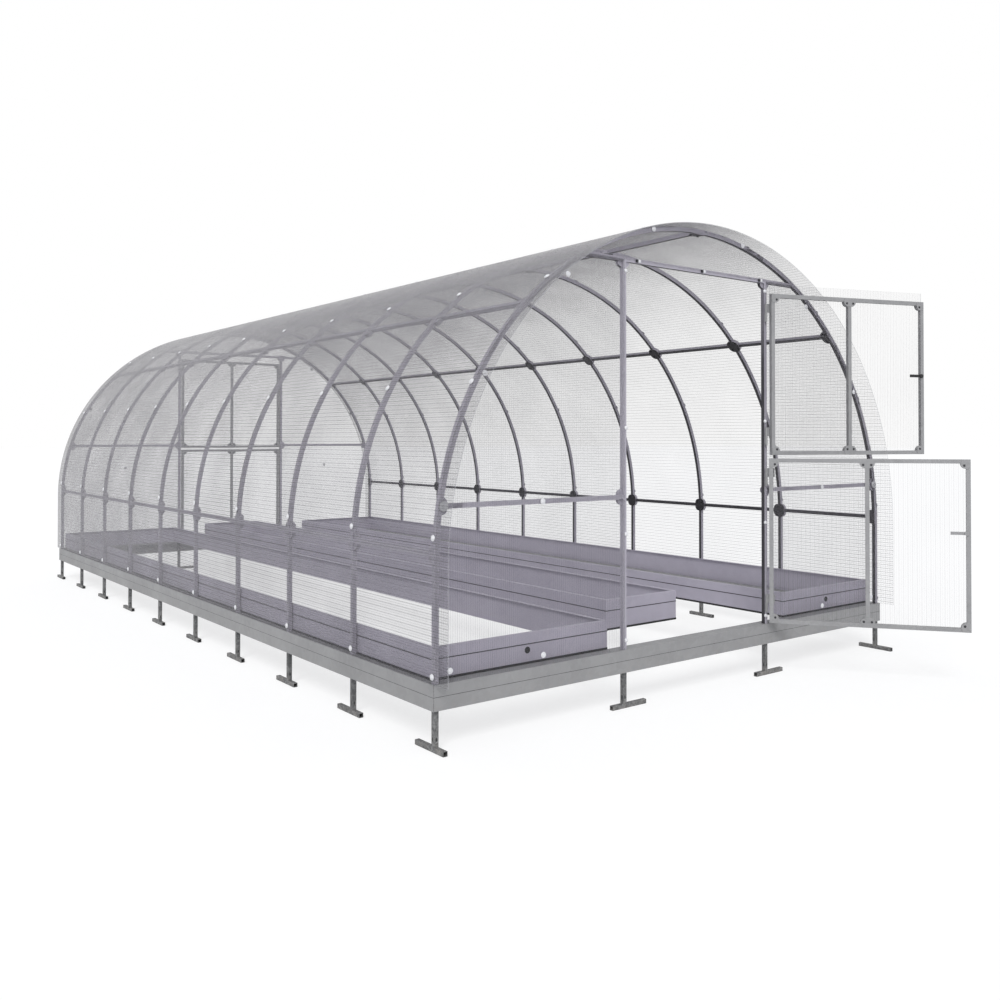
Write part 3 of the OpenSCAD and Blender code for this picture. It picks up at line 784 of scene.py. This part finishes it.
def leafSheetMesh(bm, low, high, shape):
    first = len(bm.faces)
    addBlock(bm, low, high)
    bm.faces.ensure_lookup_table()
    for face in bm.faces[first:]:
        face.normal_update()
        face.material_index = 0 if abs(face.normal.y) > 0.5 else 2
    first = len(bm.faces)
    flatWebs(bm, low[0], high[0], low[2], lambda x: high[2], low[1], high[1], shape)
    markFaces(bm, first, 1)


for nodeName in ("cover_front", "cover_middle", "cover_rear"):
    coverSheet(nodeName.replace("_", "-") + "-sheet", nodeName, sheetShape)
for nodeName in ("front_panel_left", "front_panel_right", "front_panel_top",
                 "rear_panel_left", "rear_panel_right", "rear_panel_top"):
    endPanel(nodeName.replace("_", "-") + "-sheet", nodeName, sheetShape)
print("cover and end sheets made")


# door leaves
leafPlan = {
    "halfWidth": 0.4725,
    "frontFace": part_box("front_posts")[0].y,
    "rearFace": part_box("rear_posts")[1].y,
    "hinge": (0.487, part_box("front_posts")[0].y - 0.009),
    "lowerZ": (0.271, 1.101),
    "upperZ": (1.118, 1.938),
    "upperSheetTop": 1.986,
    "lowerOpen": 125.6,
    "upperOpen": 160.5,
    "tube": 0.020,
    "rivetStep": 0.009,
    "rivetFace": 0.022,
    "rivetRadius": 0.006,
    "rivetTall": 0.003,
}


def leafTurn(plan, angle):
    hinge = Vector((*plan["hinge"], 0))
    return Matrix.Translation(hinge) @ Matrix.Rotation(math.radians(angle), 4, "Z") @ Matrix.Translation(-hinge)


def doorSheets(plan, shape):
    half, face, thick = plan["halfWidth"], plan["frontFace"], shape["thick"]
    for name, body, node, angle, lowZ, highZ in (
            ("lower-leaf-glazing", "lower_leaf", "lower_leaf_sheet", plan["lowerOpen"], *plan["lowerZ"]),
            ("upper-leaf-glazing", "upper_leaf", "upper_leaf_sheet", plan["upperOpen"],
             plan["upperZ"][0], plan["upperSheetTop"])):
        bm = bmesh.new()
        leafSheetMesh(bm, (-half, face - thick, lowZ), (half, face, highZ), shape)
        bmesh.ops.transform(bm, matrix=leafTurn(plan, angle), verts=bm.verts)
        wall = sheetMaterial(body + "Wall", sheetLook, "wall", "flat", turn=(*plan["hinge"], angle))
        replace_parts(finishPiece(name, bm, [wall, sheetWeb, sheetCut], body), node)
    bm = bmesh.new()
    rear = plan["rearFace"]
    leafSheetMesh(bm, (-half, rear, plan["lowerZ"][0]), (half, rear + thick, plan["lowerZ"][1]), shape)
    leafSheetMesh(bm, (-half, rear, plan["upperZ"][0]), (half, rear + thick, plan["upperSheetTop"]), shape)
    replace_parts(finishPiece("rear-leaf-glazing", bm, endParts, "house"), "rear_leaf_sheets")


def addBolt(bm, place, normal, radius=0.0065, height=0.004, washer=0.0095):
    matrix = alongNormal(place, normal)
    bmesh.ops.create_cone(bm, cap_ends=True, segments=14, radius1=washer, radius2=washer * 0.92, depth=0.0014,
                          matrix=matrix @ Matrix.Translation((0, 0, 0.0007)))
    bmesh.ops.create_cone(bm, cap_ends=True, segments=6, radius1=radius, radius2=radius * 0.93, depth=height,
                          matrix=matrix @ Matrix.Translation((0, 0, 0.0014 + height / 2)))


def addDome(bm, place, normal, radius, height):
    matrix = alongNormal(place, normal)
    bmesh.ops.create_cone(bm, cap_ends=True, segments=14, radius1=radius, radius2=radius * 0.9, depth=height * 0.6,
                          matrix=matrix @ Matrix.Translation((0, 0, height * 0.3)))
    bmesh.ops.create_cone(bm, cap_ends=True, segments=14, radius1=radius * 0.9, radius2=radius * 0.5,
                          depth=height * 0.4, matrix=matrix @ Matrix.Translation((0, 0, height * 0.8)))


def leafBolts(plan):
    # rivets through the corner gussets, on the side that shuts inwards
    half, tube, step = plan["halfWidth"], plan["tube"], plan["rivetStep"]
    inner = plan["frontFace"] + plan["rivetFace"]
    for name, body, angle, spans, face, way in (
            ("lower-leaf-rivets", "lower_leaf", plan["lowerOpen"], [plan["lowerZ"]], inner, 1),
            ("upper-leaf-rivets", "upper_leaf", plan["upperOpen"], [plan["upperZ"]], inner, 1),
            ("rear-leaf-rivets", "house", 0.0, [plan["lowerZ"], plan["upperZ"]],
             plan["rearFace"] - plan["rivetFace"], -1)):
        bm = bmesh.new()
        for lowZ, highZ in spans:
            for x in (-half + tube + step, -tube / 2 - step, tube / 2 + step, half - tube - step):
                for z in (lowZ + tube + step, highZ - tube - step):
                    addDome(bm, (x, face, z), (0, way, 0), plan["rivetRadius"], plan["rivetTall"])
        bmesh.ops.transform(bm, matrix=leafTurn(plan, angle), verts=bm.verts)
        finishPiece(name, bm, [plastics["darkBoltAndShade"]], body, 40)


doorSheets(leafPlan, sheetShape)
leafBolts(leafPlan)
print("door leaves glazed")


# washers on the cover and the ends
washerPlan = {
    "radius": 0.0128,
    "height": 0.0052,
    "wallHeights": (0.288,),
    "angles": (4.0, 28.5, 51.5, 76.0),
    "endPlaces": ((1.258, 1.462), (0.826, 1.903), (0.312, 2.165),
                  (0.963, 0.940), (1.421, 0.304), (0.960, 0.302)),
}


def archPlaces():
    return [(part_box("arch_%d" % i)[0].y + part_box("arch_%d" % i)[1].y) / 2 for i in range(1, 11)]


def addWasher(bm, place, normal, plan):
    matrix = alongNormal(place, normal)
    radius, height = plan["radius"], plan["height"]
    bmesh.ops.create_cone(bm, cap_ends=True, segments=18, radius1=radius, radius2=radius * 0.9, depth=height * 0.55,
                          matrix=matrix @ Matrix.Translation((0, 0, height * 0.275)))
    bmesh.ops.create_cone(bm, cap_ends=True, segments=12, radius1=radius * 0.62, radius2=radius * 0.48,
                          depth=height * 0.45, matrix=matrix @ Matrix.Translation((0, 0, height * 0.775)))


def coverWashers(plan):
    for name, side in (("washers-left", -1), ("washers-right", 1)):
        bm = bmesh.new()
        for y in archPlaces():
            for z in plan["wallHeights"]:
                addWasher(bm, (side * outerRadius, y, z), (side, 0, 0), plan)
            for angle in plan["angles"]:
                turn = math.radians(angle)
                out = Vector((side * math.cos(turn), 0, math.sin(turn)))
                addWasher(bm, out * outerRadius + Vector((0, y, springHeight)), out, plan)
        finishPiece(name, bm, [plastics["washerPlastic"]], "house", 35)


def endWashers(plan):
    for name, face, way in (("washers-front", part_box("front_panel_left")[0].y, -1),
                            ("washers-rear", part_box("rear_panel_left")[1].y, 1)):
        bm = bmesh.new()
        for x, z in plan["endPlaces"]:
            for side in (-1, 1):
                addWasher(bm, (side * x, face, z), (0, way, 0), plan)
        finishPiece(name, bm, [plastics["washerPlastic"]], "house", 35)


clipPlan = {
    "places": (-0.413, 0.020, 0.446),
    # width of the dark block of painted shade beside each cap
    "paintedShade": 0.011,
    "light": 0.015,
    "high": 0.0135,
    "deep": 0.0085,
    "drop": 0.017,
}


def railClips(plan):
    # white caps, three along each top rail, each with a dark block of painted shade for its shadowed side
    for nodeName, face, way in (("front_rails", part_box("front_posts")[0].y, -1),
                                ("rear_rails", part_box("rear_posts")[1].y, 1)):
        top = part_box(nodeName)[1].z
        low, high = top - plan["drop"] - plan["high"] / 2, top - plan["drop"] + plan["high"] / 2
        paintedShade, light = bmesh.new(), bmesh.new()
        for x in plan["places"]:
            deep = face + way * plan["deep"]
            addBlock(paintedShade, (x - plan["paintedShade"], min(face, deep), low), (x, max(face, deep), high))
            addBlock(light, (x, min(face, deep), low), (x + plan["light"], max(face, deep), high))
        for bm, part, material in ((paintedShade, "shade-side", "darkBoltAndShade"), (light, "cap", "washerPlastic")):
            bmesh.ops.bevel(bm, geom=bm.edges[:], offset=0.0012, offset_type="OFFSET", segments=2, profile=0.5,
                            affect="EDGES", material=-1)
            label = nodeName.replace("_", "-") + "-" + part
            finishPiece(label, bm, [plastics[material]], "house", 40)


stopPlan = {
    "heights": ((1.954, 1.249, 0.774, 0.301), (1.954, 1.290, 0.774, 0.301)),  # left post, right post
    "place": 0.4868,
    "radius": 0.0093,
    "tall": 0.0085,
}


def doorStops(plan):
    # white buttons on the door side of the posts
    bm = bmesh.new()
    for face, way in ((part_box("front_posts")[0].y, -1), (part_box("rear_posts")[1].y, 1)):
        for side, heights in zip((-1, 1), plan["heights"]):
            for z in heights:
                addDome(bm, (side * plan["place"], face, z), (0, way, 0), plan["radius"], plan["tall"])
    finishPiece("door-stops", bm, [plastics["washerPlastic"]], "house", 40)


coverWashers(washerPlan)
endWashers(washerPlan)
railClips(clipPlan)
doorStops(stopPlan)
print("washers placed")


# bolts
crossPlan = {
    "lines": (1.51, 45.0, 90.0, 135.0, 178.49),
    "innerFace": 1.46646,
    "reach": 0.0225,
}


def crossBolts(plan):
    bm = bmesh.new()
    places = archPlaces()
    for number, y in enumerate(places):
        for line in plan["lines"]:
            turn = math.radians(line)
            out = Vector((math.cos(turn), 0, math.sin(turn)))
            along = Vector((-math.sin(turn), 0, math.cos(turn)))
            middle = Vector((0, y, springHeight)) + out * plan["innerFace"]
            for step in (-1, 1):
                if (number == 0 and step < 0) or (number == len(places) - 1 and step > 0):
                    continue
                for way in (along, -along):
                    addBolt(bm, middle + (way + Vector((0, step, 0))) * plan["reach"], -out)
    finishPiece("connector-bolts", bm, [plastics["darkBoltAndShade"]], "house", 40)


platePlan = {
    "frontHeight": 0.940,
    "rearHeight": 1.140,
    "archRadius": 1.48,
    "setIn": 0.012,
    "radius": 0.021,
    "taper": 0.0015,
    "thick": 0.003,
    "bolt": (0.006, 0.003, 0.0115),  # radius, height, washer
}


def endPlates(plan):
    # round bearing plates with a bolt, where the side rails meet the end arches
    bm = bmesh.new()
    for face, way, height in ((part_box("front_panel_left")[0].y, -1, plan["frontHeight"]),
                              (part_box("rear_panel_left")[1].y, 1, plan["rearHeight"])):
        reach = math.sqrt(plan["archRadius"] ** 2 - (height - springHeight) ** 2)
        thick = plan["thick"]
        for side in (-1, 1):
            matrix = alongNormal((side * (reach - plan["setIn"]), face, height), (0, way, 0))
            bmesh.ops.create_cone(bm, cap_ends=True, segments=24, radius1=plan["radius"],
                                  radius2=plan["radius"] - plan["taper"], depth=thick,
                                  matrix=matrix @ Matrix.Translation((0, 0, thick / 2)))
            addBolt(bm, matrix @ Vector((0, 0, thick)), (0, way, 0), *plan["bolt"])
    finishPiece("rail-end-plates", bm, [plastics["boltZinc"]], "house", 40)


crossBolts(crossPlan)
endPlates(platePlan)
print("bolts placed")


# feet and beds
footPlan = {
    "slotWide": 0.006,
    "slotTall": 0.018,
    "height": 0.050,
    "proud": 0.0004,
    "tube": 0.020,
    "wallPlace": 1.480,
    "postPlace": 0.4925,
}


def legPlaces(plan):
    places, rows = [], archPlaces()
    for side in (-1, 1):
        places += [(side * plan["wallPlace"], y) for y in rows]
        places += [(side * plan["postPlace"], rows[0]), (side * plan["postPlace"], rows[-1])]
    return places


def footSlots(plan):
    # each slot is a black patch of painted shade, standing for the dark inside of the slot in the leg
    bm = bmesh.new()
    half = plan["tube"] / 2
    for x, y in legPlaces(plan):
        for way in ((1, 0, 0), (-1, 0, 0), (0, 1, 0), (0, -1, 0)):
            matrix = alongNormal(Vector((x, y, plan["height"])) + Vector(way) * half, way)
            tall = Matrix.Diagonal((1.0, plan["slotTall"] / plan["slotWide"], 1.0, 1.0))
            bmesh.ops.create_cone(bm, cap_ends=True, segments=12, radius1=plan["slotWide"] / 2,
                                  radius2=plan["slotWide"] / 2 * 0.9, depth=plan["proud"] * 2,
                                  matrix=matrix @ tall)
    finishPiece("leg-slots", bm, [plastics["blackPlasticAndShade"]], "house")


bedPlan = {
    "foldShare": 0.64,
    "foldTall": 0.0042,
    "foldProud": 0.0011,
    "shadowStripTall": 0.010,
    "shadowStripProud": 0.0013,
    "holeRadius": 0.0150,
    "holeHeight": 0.058,
    "holeDeep": 0.0014,
}


def bedBand(name, low, high, z, tall, deep, material):
    # a thin band round all four boards of a bed
    bm = bmesh.new()
    for x, way in ((low.x, -1), (high.x, 1)):
        addBlock(bm, (min(x, x + way * deep), low.y - deep, z - tall / 2),
                 (max(x, x + way * deep), high.y + deep, z + tall / 2))
    for y, way in ((low.y, -1), (high.y, 1)):
        addBlock(bm, (low.x, min(y, y + way * deep), z - tall / 2),
                 (high.x, max(y, y + way * deep), z + tall / 2))
    bmesh.ops.bevel(bm, geom=bm.edges[:], offset=0.0003, offset_type="OFFSET", segments=1, profile=0.5,
                    affect="EDGES", material=-1)
    finishPiece(name, bm, [material], "house")


def bedTrim(plan):
    for nodeName in ("bed_left", "bed_right", "bed_middle"):
        low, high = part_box(nodeName)
        label = nodeName.replace("_", "-")
        fold = low.z + plan["foldShare"] * (high.z - low.z)
        bedBand(label + "-fold", low, high, fold, plan["foldTall"], plan["foldProud"], plastics["foldShade"])
        # painted shadow: a black band along the foot of each bed stands for the shaded gap under its walls
        bedBand(label + "-shadow-strip", low, high, low.z + plan["shadowStripTall"] / 2 + 0.0002, plan["shadowStripTall"],
                plan["shadowStripProud"], plastics["blackPlasticAndShade"])


def bedHoles(plan):
    # each drain hole is a black disc of painted shade, standing for the dark inside of the hole
    bm = bmesh.new()
    for nodeName, share in (("bed_left", 0.51), ("bed_right", 0.49)):
        low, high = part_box(nodeName)
        x = low.x + share * (high.x - low.x)
        for y, way in ((low.y, -1), (high.y, 1)):
            bmesh.ops.create_cone(bm, cap_ends=True, segments=20, radius1=plan["holeRadius"],
                                  radius2=plan["holeRadius"] * 0.94, depth=plan["holeDeep"],
                                  matrix=alongNormal((x, y, low.z + plan["holeHeight"]), (0, way, 0)))
    finishPiece("bed-holes", bm, [plastics["blackPlasticAndShade"]], "house", 40)


basePlan = {
    "grooveLow": 0.0517,
    "grooveHigh": 0.0541,
    "lineDeep": 0.0006,
    "seamWide": 0.0026,
    "proud": 0.0004,
    "shorter": 0.001,
}


def baseLines(plan):
    # shadow in the pressed groove, and the seam at each corner of the base
    bm = bmesh.new()
    left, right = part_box("base_left"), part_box("base_right")
    lowX, highX, lowY, highY = left[0].x, right[1].x, left[0].y, left[1].y
    zLow, zHigh = left[0].z + plan["grooveLow"], left[0].z + plan["grooveHigh"]
    proud, wide, deep, shorter = plan["proud"], plan["seamWide"], plan["lineDeep"], plan["shorter"]
    for x in (lowX + proud, highX - proud - deep):
        addBlock(bm, (x, lowY + shorter, zLow), (x + deep, highY - shorter, zHigh))
    for y in (lowY + proud, highY - proud - deep):
        addBlock(bm, (lowX + shorter, y, zLow), (highX - shorter, y + deep, zHigh))
    for x in (lowX + proud, highX - proud - wide):
        for y in (lowY - proud, highY + proud - wide):
            addBlock(bm, (x, y, left[0].z + proud), (x + wide, y + wide, left[1].z - proud))
    finishPiece("base-lines", bm, [plastics["foldShade"]], "house")


footSlots(footPlan)
bedTrim(bedPlan)
bedHoles(bedPlan)
baseLines(basePlan)
print("feet and beds finished")
